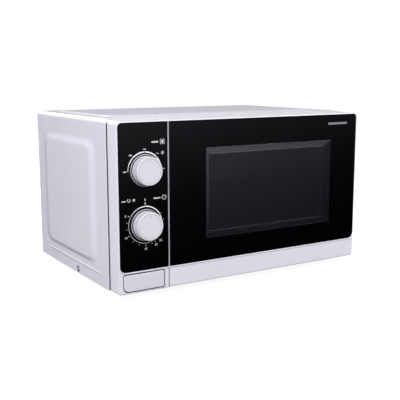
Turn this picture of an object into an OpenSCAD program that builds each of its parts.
// Countertop microwave oven, 20 litre class, with two mechanical dials and a push-button door.
// Millimetres, +Z up, the front faces -Y, and +X is to the right of someone facing the oven.
// The origin is on the surface it stands on, under the middle of its overall box.
// Modules draw in body coordinates: x from the left side, y back from the front plane,
// z up from the underside of the cabinet. in_body() moves them to the origin above.

/* [Cabinet] */
// Width between the flat sides
body_w = 434; // [430:1:438]
// Height above the feet
body_h = 243; // [242:1:248]
// Depth from the front plane to the back edge
body_d = 311; // [308:1:320]
// Height of the feet
foot_h = 12; // [8:1:16]
// How far the pressed panel of each side stands out
side_rise = 3; // [1:0.5:4]
// How far the pressed panel of the top stands out
top_rise = 1.5; // [1:0.5:3]
// Thickness of the sheet steel
sheet = 0.8; // [0.8:0.1:1.2]

/* [Front] */
// Depth of the door and the control panel
front_d = 33; // [32:0.5:34]
// Width of the control panel
panel_w = 78.5; // [77:0.5:79]
// Height of the plain strip under the black film
strip_h = 31.4; // [31:0.1:33]
// Height of the film's top edge
film_top = 239.5; // [236:0.5:239.5]
// Width of the window in the door
window_w = 238.7; // [230:0.1:240]
// Height of the window in the door
window_h = 134.2; // [128:0.1:136]
// Wall of the moulded door and panel
wall = 2.4; // [2:0.1:2.6]

/* [Controls] */
// Radius of a dial's flange
knob_r = 22.3; // [21:0.1:23]
// How far a dial stands out of the front
knob_out = 16; // [15:0.5:20]
// Height of the power dial's axis
power_z = 173.4; // [170:0.1:176]
// Height of the timer dial's axis
timer_z = 96.6; // [94:0.1:99]
// Distance of both dials' axes from the left side
dial_x = 41.8; // [40:0.1:43]

/* [Cavity] */
// Inside width of the cooking cavity
cavity_w = 310; // [306:1:310]
// Inside height of the cooking cavity
cavity_h = 200; // [190:1:200]
// Inside depth of the cooking cavity
cavity_d = 264; // [260:1:264]
// Radius of the glass tray
tray_r = 122.5; // [118:0.5:124]

/* [Hidden] */
$fn = 64;

white_paint = "#d6d4df";
white_plastic = "#e4e4ee";
black_film = "#101014";
bare_steel = "#b4b6ba";
dark_steel = "#4a4c50";

bush_out = 4;
front_y = -(body_d + bush_out - knob_out) / 2;
fit = 0.05;          // radial running clearance of a shaft in its bore
gap = 0.5;           // clearance between moving mouldings
seam = 0.3;          // clearance between fixed panels
screw_r = 1.75;
eps = 0.01;

// Front mouldings
front_top = body_h - 1.5;
split_gap = 1;
door_lift = 0.7;
door_x = panel_w + split_gap;
film_t = 0.8;
film_side = 1.1;
film_split = 0.2;
film_edge = 0.8;
film_corners = [9.5, 10, 6, 6.5]; // low left, low right, high right, high left
film_rim = 0.3;
window_x = 141.8;
window_z = 65.1;
window_y = 24.5;

// Cabinet pressings
wrap_r = 7;
side_panel = [70, 27, 283, 212];
side_slope = [22, 7.5, 20, 12];
top_panel = [20, 58, body_w - 20, body_d - 18];
top_slope = [10, 32, 10, 15];
base_flange = 14;
side_screw = [151, 4];
side_drop = 1.8;     // how far the sides reach below the base plate

// Cavity
cavity_x = 108;
cavity_z = 26;
cavity_y = front_d + sheet;
mouth_r = 8;
cavity_back_y = cavity_y + cavity_d;
tray_x = cavity_x + cavity_w / 2;
tray_y = cavity_y + cavity_d / 2;
bay_x = 6;

// Door hinge
pin_r = 3;
hinge_x = body_w - 7.5;
hinge_y = front_d - 9;
hinge_round = hinge_y + 8.5;
bracket_t = 2;
hinge_low = 14;
hinge_high = front_top - 14;
hinge_boss = 6.3;

// Latch
hook_t = 4;
hook_x = 85;
hook_h = 8;
hook_tooth = 2;
hook_tip_y = 58;
hook_lift = 3;
hook_z = [46, 198];
latch_bar_y = 10;
latch_bar_d = 8;
slot_side = 2.6;
latch_top = 212;

// Release lever
lever_y = 44;
lever_z = 26;
lever_pin_r = 2;
lever_hub_r = 5;
lever_z_foot = 8.5;
rod_x = 67;
rod_z = 12;
rod_r = 1.5;
rod_end_y = 40.2;
guide_x = 25;
guide_z = 16;
guide_r = 2;
spring_seat_y = 20;

// Dials and their timer unit
shaft_r = 3;
shaft_front = 14;
shaft_back = 14;
timer_front = 5.2;
timer_d = 34;

// Turntable
roller_r = 7;
roller_w = 7;
roller_path = 93;
roller_axle_r = 2;
roller_z = cavity_z + seam + roller_r;
ring_r = 82;
tray_z = roller_z + roller_r + seam;
tray_t = 4;
tray_rim = 12;
coupler_r = 6;
rollers = 3;

// ---- Helpers ----

module in_body() translate([-body_w / 2, front_y, foot_h]) children();

// An outline in x and z, given thickness t from y0 towards the back
module facing(y0, t) translate([0, y0 + t, 0]) rotate([90, 0, 0]) linear_extrude(t) children();

// An outline in y and z, given thickness t from x0 to the right
module sideways(x0, t) translate([x0, 0, 0]) rotate([90, 0, 90]) linear_extrude(t) children();

// A rectangle from its lower left to its upper right corner, with one radius for each corner
module corner_cut(r) difference() {
    translate([-1, -1]) square(r + 1);
    translate([r, r]) circle(r);
}

module panel(x0, z0, x1, z1, low_left, low_right, high_right, high_left) difference() {
    translate([x0, z0]) square([x1 - x0, z1 - z0]);
    if (low_left > 0) translate([x0, z0]) corner_cut(low_left);
    if (low_right > 0) translate([x1, z0]) mirror([1, 0]) corner_cut(low_right);
    if (high_right > 0) translate([x1, z1]) mirror([1, 1]) corner_cut(high_right);
    if (high_left > 0) translate([x0, z1]) mirror([0, 1]) corner_cut(high_left);
}

module rounded(x0, z0, x1, z1, r) panel(x0, z0, x1, z1, r, r, r, r);

module block(x0, y0, z0, x1, y1, z1) translate([x0, y0, z0]) cube([x1 - x0, y1 - y0, z1 - z0]);

module rod_x_dir(r, x0, x1, y, z) translate([x0, y, z]) rotate([0, 90, 0]) cylinder(r = r, h = x1 - x0);

module rod_y_dir(r, y0, y1, x, z) translate([x, y0, z]) rotate([-90, 0, 0]) cylinder(r = r, h = y1 - y0);

module rod_z_dir(r, z0, z1, x, y) translate([x, y, z0]) cylinder(r = r, h = z1 - z0);

// A shallow pressing: plan is [x0, y0, x1, y1] at its foot, slope the width of each sloping side
module pressing(plan, slope, rise, foot_r, head_r) {
    edge = 0.02;
    hull() {
        for (x = [plan[0] + foot_r, plan[2] - foot_r], y = [plan[1] + foot_r, plan[3] - foot_r])
            translate([x, y, -1]) cylinder(r = foot_r, h = 1 + edge, $fn = 32);
        for (x = [plan[0] + slope[0] + head_r, plan[2] - slope[2] - head_r],
             y = [plan[1] + slope[1] + head_r, plan[3] - slope[3] - head_r])
            translate([x, y, rise - edge]) cylinder(r = head_r, h = edge, $fn = 32);
    }
}

// Slots in rows and columns, from the corner [x0, z0]
module vent(x0, z0, columns, rows, slot_w, slot_h, pitch_x, pitch_z)
    for (i = [0 : columns - 1], j = [0 : rows - 1])
        translate([x0 + i * pitch_x, z0 + j * pitch_z]) square([slot_w, slot_h]);

// A coil spring that stands on z = 0
module coil(r, wire_r, height, turns) {
    sides = 8;
    steps = 10 * turns;
    function ring(i) = [for (k = [0 : sides - 1])
        let (a = 360 * turns * i / steps, b = 360 * k / sides, q = r + wire_r * cos(b))
            [q * cos(a), q * sin(a), wire_r + (height - 2 * wire_r) * i / steps + wire_r * sin(b)]];
    points = [for (i = [0 : steps]) each ring(i)];
    skin = [for (i = [0 : steps - 1], k = [0 : sides - 1])
        [i * sides + k, (i + 1) * sides + k, (i + 1) * sides + (k + 1) % sides, i * sides + (k + 1) % sides]];
    start_cap = [for (k = [0 : sides - 1]) k];
    end_cap = [for (k = [sides - 1 : -1 : 0]) steps * sides + k];
    polyhedron(points, concat(skin, [start_cap], [end_cap]), convexity = 4);
}

// ---- Cabinet ----

module side_pressing(shift) {
    translate([shift, 0, 0]) mirror([1, 0, 0]) rotate([90, 0, 90])
        pressing(side_panel, side_slope, side_rise, 20, 14);
    translate([body_w - shift, 0, 0]) rotate([90, 0, 90])
        pressing(side_panel, side_slope, side_rise, 20, 14);
}

module top_pressing(shift) translate([0, 0, body_h - shift])
    pressing(top_panel, top_slope, top_rise, 16, 12);

module outer_cabinet() in_body() color(white_paint) difference() {
    union() {
        facing(front_d, body_d - front_d) difference() {
            panel(0, -side_drop, body_w, body_h, 0, 0, wrap_r, wrap_r);
            panel(sheet, -side_drop - 1, body_w - sheet, body_h - sheet,
                  0, 0, wrap_r - sheet, wrap_r - sheet);
        }
        side_pressing(0);
        top_pressing(0);
    }
    side_pressing(sheet);
    top_pressing(sheet);
    for (x = [-sheet, body_w - 2 * sheet])
        rod_x_dir(screw_r, x, x + 3 * sheet, side_screw[0], side_screw[1]);
}

rear_y = body_d - 1.5;
inset = sheet + seam;
rear_screws = [[30, 236], [218, 236], [404, 236], [30, 8], [218, 8], [404, 8]];
cord_at = [62, 46];
bush_r = 7;

module rear_panel() in_body() color(white_paint) facing(rear_y, sheet) difference() {
    rounded(inset, inset, body_w - inset, body_h - inset, wrap_r - sheet);
    vent(20, 130, 3, 9, 22, 3, 26, 9);
    vent(300, 196, 4, 5, 22, 3, 26, 7);
    translate(cord_at) circle(bush_r + fit);
    for (s = rear_screws) translate(s) circle(screw_r);
}

foot_x = [40, body_w - 40];
foot_y = [60, body_d - 30];
foot_stem_r = 3;

module base_plate() in_body() color(bare_steel) {
    difference() {
        union() {
            block(inset, cavity_y, 0, body_w - inset, rear_y, sheet);
            for (x = [inset, body_w - inset - sheet])
                block(x, cavity_y, 0, x + sheet, rear_y, base_flange);
        }
        for (x = foot_x, y = foot_y) rod_z_dir(foot_stem_r + fit, -1, 2, x, y);
        translate([0, 0, -1]) linear_extrude(sheet + 2) {
            vent(24, 90, 3, 5, 16, 3, 20, 8);
            vent(130, 120, 4, 5, 16, 3, 20, 8);
        }
        for (x = [0, body_w - 4 * sheet])
            rod_x_dir(screw_r, x, x + 4 * sheet, side_screw[0], side_screw[1]);
    }
}

module feet() in_body() color(dark_steel) for (x = foot_x, y = foot_y) {
    translate([x, y, -foot_h]) cylinder(r1 = 10, r2 = 13, h = foot_h);
    rod_z_dir(foot_stem_r, -1, sheet + 1.4, x, y);
}

module pan_screw() {
    translate([0, 0, -6]) cylinder(r = screw_r, h = 6);
    difference() {
        cylinder(r1 = 3.6, r2 = 2.8, h = 1.6);
        for (a = [0, 90]) rotate(a) translate([-2, -0.4, 0.8]) cube([4, 0.8, 1]);
    }
}

module cabinet_screws() in_body() color(bare_steel) {
    for (s = rear_screws) translate([s[0], rear_y + sheet, s[1]]) rotate([-90, 0, 0]) pan_screw();
    translate([0, side_screw[0], side_screw[1]]) rotate([0, -90, 0]) pan_screw();
    translate([body_w, side_screw[0], side_screw[1]]) rotate([0, 90, 0]) pan_screw();
}

cord_r = 3.6;
bush_length = 14;

module cord_inlet_bush() in_body() color("#26262a")
    translate([cord_at[0], body_d + bush_out, cord_at[1]]) rotate([90, 0, 0]) difference() {
        union() {
            cylinder(r = bush_r, h = bush_length);
            translate([0, 0, 1]) cylinder(r = bush_r + 2.5, h = bush_out + 0.5 - 1);
        }
        translate([0, 0, -1]) cylinder(r = cord_r, h = bush_length + 2);
    }

// ---- Cooking cavity ----

port_y = [112, 188];
port_z = [136, 192];
lamp_y = 218;
lamp_z = 200;

module cavity_wrapper() in_body() color("#8f9094") difference() {
    facing(cavity_y, cavity_d) difference() {
        panel(cavity_x - sheet, cavity_z - sheet, cavity_x + cavity_w + sheet,
              cavity_z + cavity_h + sheet, 0, 0, 7, 7);
        panel(cavity_x, cavity_z - 2, cavity_x + cavity_w, cavity_z + cavity_h, 0, 0, 6, 6);
    }
    block(cavity_x - 2, port_y[0], port_z[0], cavity_x + 1, port_y[1], port_z[1]);
    for (i = [-2 : 2], j = [-1 : 1])
        rod_x_dir(1.5, cavity_x - 2, cavity_x + 1, lamp_y + 5 * i, lamp_z + 5 * j);
    for (i = [0 : 6], j = [0 : 2])
        rod_x_dir(2, cavity_x + cavity_w - 1, cavity_x + cavity_w + 2, 220 + 8 * i, 180 + 8 * j);
}

module cavity_floor() in_body() color("#8f9094") difference() {
    block(cavity_x, cavity_y, cavity_z - sheet, cavity_x + cavity_w, cavity_back_y, cavity_z);
    rod_z_dir(coupler_r + 1, 0, cavity_z + 1, tray_x, tray_y);
}

module cavity_back() in_body() color("#8f9094") facing(cavity_back_y, sheet)
    panel(cavity_x - sheet, cavity_z - sheet, cavity_x + cavity_w + sheet,
          cavity_z + cavity_h + sheet, 0, 0, 7, 7);

plate_x = 74;

module front_plate() in_body() color(white_paint) facing(front_d, sheet) difference() {
    panel(plate_x, inset, body_w - inset, body_h - inset, 0, 0, 6, 0);
    rounded(cavity_x, cavity_z, cavity_x + cavity_w, cavity_z + cavity_h, mouth_r);
    for (z = hook_z) translate([hook_x - slot_side, z - hook_tooth - 1])
        square([hook_t + slot_side + 1.5, hook_h + hook_tooth + hook_lift + 2]);
    for (z = [hinge_low, hinge_high]) translate([hinge_x - 5.5, z - bracket_t / 2 - seam])
        square([11, bracket_t + 2 * seam]);
}

guide_y = [100, 200];
guide_h = [134, 204];
guide_x0 = 80;
antenna_y = 178;
antenna_z = 170;

module waveguide() in_body() color(bare_steel) difference() {
    block(guide_x0, guide_y[0], guide_h[0], cavity_x - sheet, guide_y[1], guide_h[1]);
    block(guide_x0 + sheet, guide_y[0] + sheet, guide_h[0] + sheet,
          cavity_x, guide_y[1] - sheet, guide_h[1] - sheet);
    rod_x_dir(9, guide_x0 - 1, guide_x0 + 2, antenna_y, antenna_z);
}

module mica_cover() in_body() color("#b9a98c") sideways(cavity_x + seam, 0.8)
    rounded(port_y[0] - 3, port_z[0] - 3, port_y[1] + 3, port_z[1] + 3, 4);

// ---- High-voltage parts in the left bay ----

yoke_x = [22, guide_x0];
yoke_half_y = 40;
yoke_half_z = 32;
anode_r = 20;

module magnetron_yoke() in_body() color(bare_steel) difference() {
    block(yoke_x[0], antenna_y - yoke_half_y, antenna_z - yoke_half_z,
          yoke_x[1], antenna_y + yoke_half_y, antenna_z + yoke_half_z);
    block(yoke_x[0] + 2, antenna_y - yoke_half_y - 1, antenna_z - yoke_half_z + 2,
          yoke_x[1] - 2, antenna_y + yoke_half_y + 1, antenna_z + yoke_half_z - 2);
    rod_x_dir(12, yoke_x[0] - 1, yoke_x[1] + 1, antenna_y, antenna_z);
}

module magnetron_anode() in_body() color("#a06a48") {
    rod_x_dir(anode_r, yoke_x[0] + 2, yoke_x[1] - 2, antenna_y, antenna_z);
    rod_x_dir(7, yoke_x[1] - 2, yoke_x[1] + 14, antenna_y, antenna_z);
    rod_x_dir(9, yoke_x[0] - 4, yoke_x[0] + 2, antenna_y, antenna_z);
}

module magnetron_fins() in_body() color("#c9cbd0") for (i = [0 : 6]) sideways(29 + 7 * i, 1) difference() {
    translate([antenna_y - yoke_half_y + 4, antenna_z - yoke_half_z + 4])
        square([2 * yoke_half_y - 8, 2 * yoke_half_z - 8]);
    translate([antenna_y, antenna_z]) circle(anode_r + fit);
}

module magnetron_filter_box() in_body() color(bare_steel) difference() {
    block(bay_x, antenna_y - 30, antenna_z - 24, yoke_x[0], antenna_y + 30, antenna_z + 24);
    block(bay_x + 1, antenna_y - 29, antenna_z - 23, yoke_x[0] + 1, antenna_y + 29, antenna_z + 23);
    for (i = [-1 : 1], j = [-1 : 1])
        rod_x_dir(2, bay_x - 1, bay_x + 2, antenna_y + 12 * i, antenna_z + 10 * j);
}

core_x = [12, 100];
core_y = [150, 206];
core_z = [sheet, 73];
core_slot = 15;

module transformer_core() in_body() color(dark_steel) difference() {
    block(core_x[0], core_y[0], core_z[0], core_x[1], core_y[1], core_z[1]);
    for (x = [core_x[0] + 14, core_x[1] - 14 - core_slot])
        block(x, core_y[0] - 1, 17, x + core_slot, core_y[1] + 1, 57);
}

module winding(z0, z1) difference() {
    linear_extrude(z1 - z0) rounded(core_x[0] + 14.3, core_y[0] - 14, core_x[1] - 14.3, core_y[1] + 14, 12);
    translate([0, 0, -1]) linear_extrude(z1 - z0 + 2)
        rounded(core_x[0] + 28.8, core_y[0] - 0.3, core_x[1] - 28.8, core_y[1] + 0.3, 0.5);
}

module transformer_windings() in_body() color("#9a4a24") {
    translate([0, 0, 17.3]) winding(17.3, 34);
    translate([0, 0, 37]) winding(37, 56.7);
}

cap_x = [12, 90];
cap_y = [236, 288];
cap_z = 3;
cap_r = 17;
clamp_x = 50;
clamp_w = 14;

module hv_capacitor() in_body() color(bare_steel) {
    sideways(cap_x[0], cap_x[1] - cap_x[0])
        rounded(cap_y[0], cap_z, cap_y[1], cap_z + 2 * cap_r, cap_r - 1);
    for (y = [cap_y[0] + 16, cap_y[1] - 16]) rod_x_dir(3, cap_x[1], cap_x[1] + 9, y, cap_z + cap_r);
}

module capacitor_clamp() in_body() color(bare_steel) sideways(clamp_x, clamp_w) difference() {
    rounded(cap_y[0] - 1.3, sheet, cap_y[1] + 1.3, cap_z + 1.3 + 2 * cap_r, cap_r);
    rounded(cap_y[0] - 0.2, cap_z - 0.2, cap_y[1] + 0.2, cap_z + 0.2 + 2 * cap_r, cap_r - 1);
}

// ---- Cooling fan ----

fan_x = 54;
fan_z = 168;
fan_r = 38;
fan_y = [270, 286];
fan_shaft_r = 2;
fan_hub_r = 10;
fan_motor_r = 16;
fan_motor_y = [245, 263];
shroud_x = [10, 100];
shroud_y = [264, 300];
shroud_half = 46;

module fan_motor() in_body() color(dark_steel) difference() {
    union() {
        rod_y_dir(fan_motor_r, fan_motor_y[0], fan_motor_y[1], fan_x, fan_z);
        block(fan_x - 30, fan_motor_y[0] + 5, fan_z - 8, fan_x + 22, fan_motor_y[1] - 5, fan_z + 8);
    }
    rod_y_dir(fan_shaft_r + fit, fan_motor_y[0] - 5, fan_motor_y[1] + 1, fan_x, fan_z);
}

module fan_shroud() in_body() color("#d8d8dc") {
    difference() {
        block(shroud_x[0], shroud_y[0], fan_z - shroud_half, shroud_x[1], shroud_y[1], fan_z + shroud_half);
        rod_y_dir(fan_r + 3, shroud_y[0] - 1, shroud_y[1] + 1, fan_x, fan_z);
    }
    for (z = [fan_z - 44, fan_z + 40])
        block(fan_x - 5, shroud_y[0] - 6, z, fan_x + 5, shroud_y[0], z + 4);
}

module fan_blade() in_body() color("#e0e0e4") {
    rod_y_dir(fan_hub_r, fan_y[0], fan_y[1], fan_x, fan_z);
    rod_y_dir(fan_shaft_r, fan_motor_y[0] + 1, fan_y[0] + 1, fan_x, fan_z);
    for (a = [0 : 60 : 300]) translate([fan_x, (fan_y[0] + fan_y[1]) / 2, fan_z]) rotate([0, a, 0])
        translate([fan_hub_r - 2, 0, 0]) rotate([35, 0, 0])
            translate([0, -0.7, -9]) cube([fan_r - fan_hub_r + 1, 1.4, 18]);
}

// ---- Lamp, cut-out and boards ----

lamp_r = 6;
lamp_cap_r = 4;
lamp_x = cavity_x - 10;
holder_x = [82, 92];
holder_half = 10;
holder_wall = 1.5;

module oven_lamp() in_body() color("#fff2c8") {
    translate([lamp_x, lamp_y, lamp_z]) sphere(r = lamp_r);
    rod_x_dir(lamp_cap_r, holder_x[1] - 4, lamp_x - 3, lamp_y, lamp_z);
}

module lamp_holder() in_body() color("#ece8dc") {
    difference() {
        block(holder_x[0], lamp_y - holder_half, lamp_z - holder_half,
              holder_x[1], lamp_y + holder_half, lamp_z + holder_half);
        rod_x_dir(lamp_cap_r + fit, holder_x[1] - 5, holder_x[1] + 1, lamp_y, lamp_z);
    }
    block(holder_x[0], lamp_y - holder_half, lamp_z + holder_half,
          cavity_x - sheet, lamp_y + holder_half, lamp_z + holder_half + holder_wall);
}

cutout_at = [130, 160];
roof_z = cavity_z + cavity_h + sheet;

module thermal_cutout() in_body() color("#3a3430") {
    rod_z_dir(9, roof_z + 1, roof_z + 4, cutout_at[0], cutout_at[1]);
    rod_z_dir(7, roof_z, roof_z + 10, cutout_at[0], cutout_at[1]);
}

board = [10, 90, 74, 150];
board_z = 219;
board_top = board_z + 1.6;

module filter_board() in_body() color("#2f6b3c") {
    block(board[0], board[1], board_z, board[2], board[3], board_top);
    // two chokes, a capacitor and a relay
    for (y = [18, 42]) rod_z_dir(9, board_top, board_top + 13.4, board[0] + 16, board[1] + y);
    block(board[0] + 34, board[1] + 8, board_top, board[0] + 56, board[1] + 18, board_top + 13.4);
    block(board[0] + 34, board[1] + 30, board_top, board[0] + 52, board[1] + 44, board_top + 11.4);
}

// ---- Dials ----

timer_x = [16, 68];
timer_span = [timer_z - 28, power_z + 24];

module timer_unit() in_body() color("#c8c2b0") difference() {
    union() {
        facing(wall, timer_front - wall)
            translate([timer_x[0] - 3, timer_span[0] - 3])
                square([timer_x[1] - timer_x[0] + 6, timer_span[1] - timer_span[0] + 6]);
        block(timer_x[0], timer_front, timer_span[0], timer_x[1], timer_front + timer_d, timer_span[1]);
        rod_y_dir(21, timer_front + timer_d, timer_front + timer_d + 9, dial_x, timer_z + 30);
    }
    for (z = [power_z, timer_z]) rod_y_dir(shaft_r + fit, 0, shaft_back + 1, dial_x, z);
}

module dial_shaft(z) rod_y_dir(shaft_r, -shaft_front, shaft_back, dial_x, z);

module dial_knob(z) translate([dial_x, 0, z]) rotate([90, 0, 0]) difference() {
    rotate_extrude() polygon([
        [0, 1], [knob_r, 1], [knob_r, 2], [knob_r - 1.9, 2], [knob_r - 2, 3],
        [knob_r - 2.6, knob_out - 0.8], [knob_r - 3.4, knob_out], [0, knob_out]]);
    cylinder(r = shaft_r + 0.03, h = shaft_front + 0.2);
    translate([-0.8, knob_r - 9, knob_out - 0.6]) cube([1.6, 5, 1]);
}

module power_knob() in_body() color("#d8d8e0") dial_knob(power_z);
module timer_knob() in_body() color("#d8d8e0") dial_knob(timer_z);
module power_shaft() in_body() color(bare_steel) dial_shaft(power_z);
module timer_shaft() in_body() color(bare_steel) dial_shaft(timer_z);

// ---- Control panel ----

button = [6, 2.6, 71.7, 28.6];

module panel_film_outline(in)
    panel(film_side + in, strip_h + in, panel_w - film_split - in, film_top - in,
          film_corners[0], 0.3, 0.3, film_corners[3]);

module control_panel() in_body() color(white_plastic) {
    difference() {
        facing(0, front_d) rounded(0, 0, panel_w, front_top, 2);
        block(wall, wall, wall, panel_w - wall, front_d + 1, front_top - wall);
        facing(-1, 1 + film_t)
            panel_film_outline(0);
        for (z = [power_z, timer_z]) rod_y_dir(shaft_r + 2, -1, wall + 1, dial_x, z);
        facing(-1, wall + 2)
            panel(button[0] - gap, button[1] - gap, button[2] + gap, button[3] + gap, 8.5, 2.5, 2.5, 3.5);
    }
    difference() {
        block(guide_x - 10, spring_seat_y, wall, guide_x + 10, spring_seat_y + 2, guide_z + 12);
        rod_y_dir(guide_r + 0.3, spring_seat_y - 1, spring_seat_y + 3, guide_x, guide_z);
    }
}

module panel_film() in_body() color(black_film) difference() {
    facing(0, film_t) panel_film_outline(eps);
    for (z = [power_z, timer_z]) rod_y_dir(shaft_r + 2, -1, film_t + 1, dial_x, z);
}

// ---- Door button and release lever ----

module release_button() in_body() color(white_plastic) {
    facing(0, wall) panel(button[0], button[1], button[2], button[3], 8, 2, 2, 3);
    rod_y_dir(rod_r, wall, rod_end_y, rod_x, rod_z);
    rod_y_dir(guide_r, wall, spring_seat_y + 6, guide_x, guide_z);
}

module button_spring() in_body() color(bare_steel) translate([guide_x, spring_seat_y, guide_z])
    rotate([90, 0, 0]) coil(4, 0.5, spring_seat_y - wall, 6);

lever_top = hook_z[0] - hook_tooth - 0.4;

lever_tip = [8.5, lever_top - lever_z - 2.5];

// Each arm's outline in y and z, from the hub at the origin
module push_arm() translate([-3, lever_z_foot - lever_z]) square([6, lever_z - lever_z_foot]);

module lift_arm() {
    polygon([[-2.4, 1], [2.4, -1],
             [lever_tip[0] + 2.2, lever_tip[1] - 1.2], [lever_tip[0] - 2.2, lever_tip[1] + 1.2]]);
    translate(lever_tip) circle(2.5);
}

module release_lever() in_body() color("#d0d0d6") translate([0, lever_y, lever_z]) difference() {
    union() {
        rod_x_dir(lever_hub_r, 63, 91, 0, 0);
        sideways(64.5, 5) push_arm();
        sideways(84.5, 5) lift_arm();
    }
    rod_x_dir(lever_pin_r + fit, 60, 92, 0, 0);
}

module lever_stand() in_body() color(bare_steel) {
    block(57, lever_y - 8, sheet, 96, lever_y + 8, sheet + 1.5);
    for (x = [57, 94.5]) block(x, lever_y - 8, sheet, x + 1.5, lever_y + 8, lever_z + 5);
    rod_x_dir(lever_pin_r, 57, 96, lever_y, lever_z);
}

// ---- Interlock ----

module interlock_bracket() in_body() color("#e6e2d6") {
    block(92.5, 34.2, 37, 95, 82, 214);
    for (z = hook_z) block(82, 35, z - hook_tooth - 3, 92.5, 40.5, z - hook_tooth - 0.3);
    for (z = hook_z) block(82, 79, z - 6, 92.5, 81, z + 20);
}

module door_switches() in_body() color("#2c2c30") for (z = hook_z) difference() {
    block(82.5, 62, z - 4, 92.5, 78, z + 24);
    rod_y_dir(1.5 + fit, 61, 70, hook_x + 2, z + 4);
}

module switch_plungers() in_body() color("#b03020") for (z = hook_z)
    rod_y_dir(1.5, hook_tip_y + 0.4, 68, hook_x + 2, z + 4);

module latch_hooks() in_body() color("#dcdce2") {
    block(hook_x - 1, latch_bar_y, 40, hook_x + hook_t + 1, latch_bar_y + latch_bar_d, latch_top);
    for (z = hook_z) {
        block(hook_x, latch_bar_y, z, hook_x + hook_t, hook_tip_y, z + hook_h);
        block(hook_x, hook_tip_y - 14, z - hook_tooth, hook_x + hook_t, hook_tip_y, z + 1);
    }
}

latch_seat = latch_top + 13;

module latch_spring() in_body() color(bare_steel)
    translate([hook_x + hook_t / 2, latch_bar_y + latch_bar_d / 2, latch_top])
        coil(2.6, 0.4, latch_seat - latch_top, 7);

// ---- Door ----

module hinge(z, pin_z0, pin_z1) {
    block(hinge_x - 5, hinge_y, z - bracket_t / 2, hinge_x + 5, cavity_y + 1.5, z + bracket_t / 2);
    rod_z_dir(5, z - bracket_t / 2, z + bracket_t / 2, hinge_x, hinge_y);
    block(hinge_x - 5, cavity_y, z - 9, hinge_x + 5, cavity_y + 1.5, z + 9);
    rod_z_dir(pin_r, pin_z0, pin_z1, hinge_x, hinge_y);
}

module upper_hinge() in_body() color(bare_steel) hinge(hinge_high, hinge_high, front_top - wall - 0.3);
module lower_hinge() in_body() color(bare_steel) hinge(hinge_low, wall + 0.3, hinge_low);

// The door's outline in plan, with its rear right corner rounded about the hinge axis
module door_plan(inset_by) difference() {
    translate([door_x + inset_by, inset_by]) square([body_w - door_x - 2 * inset_by, hinge_round]);
    translate([hinge_x, hinge_y]) difference() {
        square(20);
        circle(hinge_round - hinge_y - inset_by);
    }
    translate([0, hinge_round - inset_by]) square([body_w, 20]);
}

// Room in the door for a hinge bracket to sweep from the back to the right side
module bracket_room(z) block(hinge_x - 5.8, hinge_y - 5.8, z - bracket_t / 2 - gap,
                             body_w + 1, front_d + 1, z + bracket_t / 2 + gap);

module door_film_outline(in)
    panel(door_x + film_rim + in, strip_h + in, body_w - film_edge - in, film_top - in,
          1, film_corners[1], film_corners[2], 1);

module door_frame() in_body() color(white_plastic) difference() {
    union() {
        difference() {
            translate([0, 0, door_lift]) linear_extrude(front_top - door_lift) door_plan(0);
            translate([0, wall + 1.2, wall]) linear_extrude(front_top - 2 * wall)
                translate([door_x + wall, 0]) square([body_w - door_x - 2 * wall, front_d]);
        }
        // rear wall on the hinge side
        block(419, hinge_round - 2, 1, hinge_x, hinge_round, front_top - 1);
        // bosses around the hinge pins
        for (z = [[door_lift, hinge_low - 1.6], [hinge_high + 1.6, front_top]])
            rod_z_dir(hinge_boss, z[0], z[1], hinge_x, hinge_y);
        // seat of the latch spring
        block(door_x + 1, wall, latch_seat, hook_x + hook_t + 6, latch_bar_y + latch_bar_d, latch_seat + 2);
    }
    facing(-1, 1 + film_t) door_film_outline(0);
    facing(-1, wall + 4) rounded(window_x - 1, window_z - 1, window_x + window_w + 1,
                                 window_z + window_h + 1, 2);
    facing(film_t - eps, 1.6 + eps) rounded(window_x - 6, window_z - 6, window_x + window_w + 6,
                                            window_z + window_h + 6, 3);
    for (z = [hinge_low, hinge_high]) bracket_room(z);
    rod_z_dir(pin_r + fit, wall, hinge_low, hinge_x, hinge_y);
    rod_z_dir(pin_r + fit, hinge_high, front_top - wall, hinge_x, hinge_y);
}

module door_film() in_body() color(black_film) facing(0, film_t) difference() {
    door_film_outline(eps);
    rounded(window_x, window_z, window_x + window_w, window_z + window_h, 1.5);
}

module door_pane() in_body() color([0.7, 0.75, 0.8, 0.35]) {
    facing(0, film_t) rounded(window_x + 0.05, window_z + 0.05, window_x + window_w - 0.05,
                              window_z + window_h - 0.05, 1.5);
    facing(film_t, 1.5) rounded(window_x - 5.9, window_z - 5.9, window_x + window_w + 5.9,
                                window_z + window_h + 5.9, 3);
}

module door_screen() in_body() color("#1c1c20") {
    difference() {
        facing(wall + 1.2, window_y - wall - 1.2) rounded(window_x - 2, window_z - 2,
            window_x + window_w + 2, window_z + window_h + 2, 3);
        facing(0, window_y + 1) rounded(window_x - 1, window_z - 1,
            window_x + window_w + 1, window_z + window_h + 1, 2);
    }
    facing(window_y, sheet) rounded(100, 16, 412, 230, 4);
}

module inner_film() in_body() color([0.7, 0.75, 0.8, 0.35]) facing(window_y + 3, 0.8)
    rounded(window_x - 8, window_z - 8, window_x + window_w + 8, window_z + window_h + 8, 3);

cover_y = window_y + 3.8;

module choke_cover() in_body() color("#6c6e74") {
    facing(cover_y, hinge_round - cover_y) difference() {
        rounded(door_x + wall + seam, wall + seam, 418.5, front_top - wall - seam, 1);
        rounded(window_x - 5, window_z - 5, window_x + window_w + 5, window_z + window_h + 5, 4);
        for (z = hook_z) translate([hook_x - gap, z - hook_tooth - gap])
            square([hook_t + 2 * gap, hook_h + hook_tooth + hook_lift + 2 * gap]);
    }
    // ribs that hold the cover off the screen
    for (x = [104, 404]) block(x, window_y + sheet, 20, x + 2, cover_y, 226);
}

// ---- Turntable ----

motor_r = 24;

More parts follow.
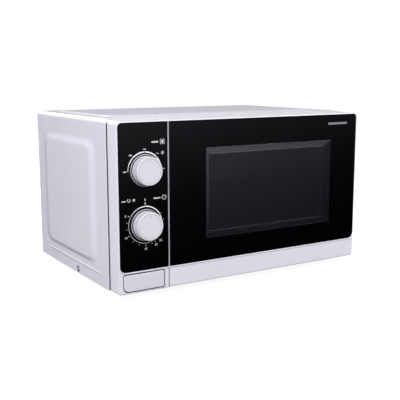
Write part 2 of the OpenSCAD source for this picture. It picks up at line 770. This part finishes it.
module turntable_motor() in_body() color(bare_steel) difference() {
    union() {
        rod_z_dir(motor_r, 9, cavity_z - sheet - 0.5, tray_x, tray_y);
        block(tray_x - 30, tray_y - 5, cavity_z - sheet - 1.5, tray_x + 30, tray_y + 5, cavity_z - sheet);
    }
    rod_z_dir(3.5 + fit, 12, cavity_z, tray_x, tray_y);
}

module turntable_coupler() in_body() color("#e8e6dc") {
    rod_z_dir(3.5, 12.5, cavity_z + 3, tray_x, tray_y);
    rod_z_dir(coupler_r, cavity_z - sheet + seam, tray_z - 0.5, tray_x, tray_y);
    for (a = [0 : 120 : 240]) translate([tray_x, tray_y, 0]) rotate(a)
        block(0, -2.5, tray_z - 6, 20, 2.5, tray_z - 0.5);
}

module roller_ring() in_body() color("#d8d8de") translate([tray_x, tray_y, 0]) {
    rotate_extrude() translate([ring_r - 3, roller_z - 2.5]) square([6, 5]);
    for (i = [0 : rollers - 1]) rotate(60 + 360 / rollers * i) {
        rod_x_dir(roller_axle_r, ring_r + 2, roller_path + roller_w / 2 + 1.5, 0, roller_z);
        rod_x_dir(roller_axle_r + 1.4, roller_path + roller_w / 2 + 0.4,
                  roller_path + roller_w / 2 + 2, 0, roller_z);
    }
}

module roller(i) in_body() color("#f0f0f4") translate([tray_x, tray_y, roller_z])
    rotate(60 + 360 / rollers * i) difference() {
        rod_x_dir(roller_r, roller_path - roller_w / 2, roller_path + roller_w / 2, 0, 0);
        rod_x_dir(roller_axle_r + fit, 0, 2 * roller_path, 0, 0);
    }

module roller_1() roller(0);
module roller_2() roller(1);
module roller_3() roller(2);

module glass_tray() in_body() color([0.75, 0.82, 0.85, 0.35]) translate([tray_x, tray_y, tray_z]) {
    rotate_extrude() polygon([
        [0, 0], [tray_r - 14, 0], [tray_r - 6, tray_rim - tray_t], [tray_r, tray_rim - tray_t],
        [tray_r, tray_rim], [tray_r - 8, tray_rim], [tray_r - 16, tray_t], [0, tray_t]]);
    for (a = [60 : 120 : 300]) rotate(a) translate([9, -3, -5.5]) cube([9, 6, 6]);
}

outer_cabinet();
rear_panel();
base_plate();
feet();
cabinet_screws();
cord_inlet_bush();
cavity_wrapper();
cavity_floor();
cavity_back();
front_plate();
waveguide();
mica_cover();
magnetron_yoke();
magnetron_anode();
magnetron_fins();
magnetron_filter_box();
transformer_core();
transformer_windings();
hv_capacitor();
capacitor_clamp();
fan_motor();
fan_shroud();
fan_blade();
oven_lamp();
lamp_holder();
thermal_cutout();
filter_board();
timer_unit();
turntable_motor();
interlock_bracket();
door_switches();
switch_plungers();
lever_stand();
release_lever();
control_panel();
panel_film();
power_knob();
power_shaft();
timer_knob();
timer_shaft();
release_button();
button_spring();
upper_hinge();
lower_hinge();
door_frame();
door_film();
door_pane();
door_screen();
inner_film();
choke_cover();
latch_hooks();
latch_spring();
turntable_coupler();
roller_ring();
roller_1();
roller_2();
roller_3();
glass_tray();
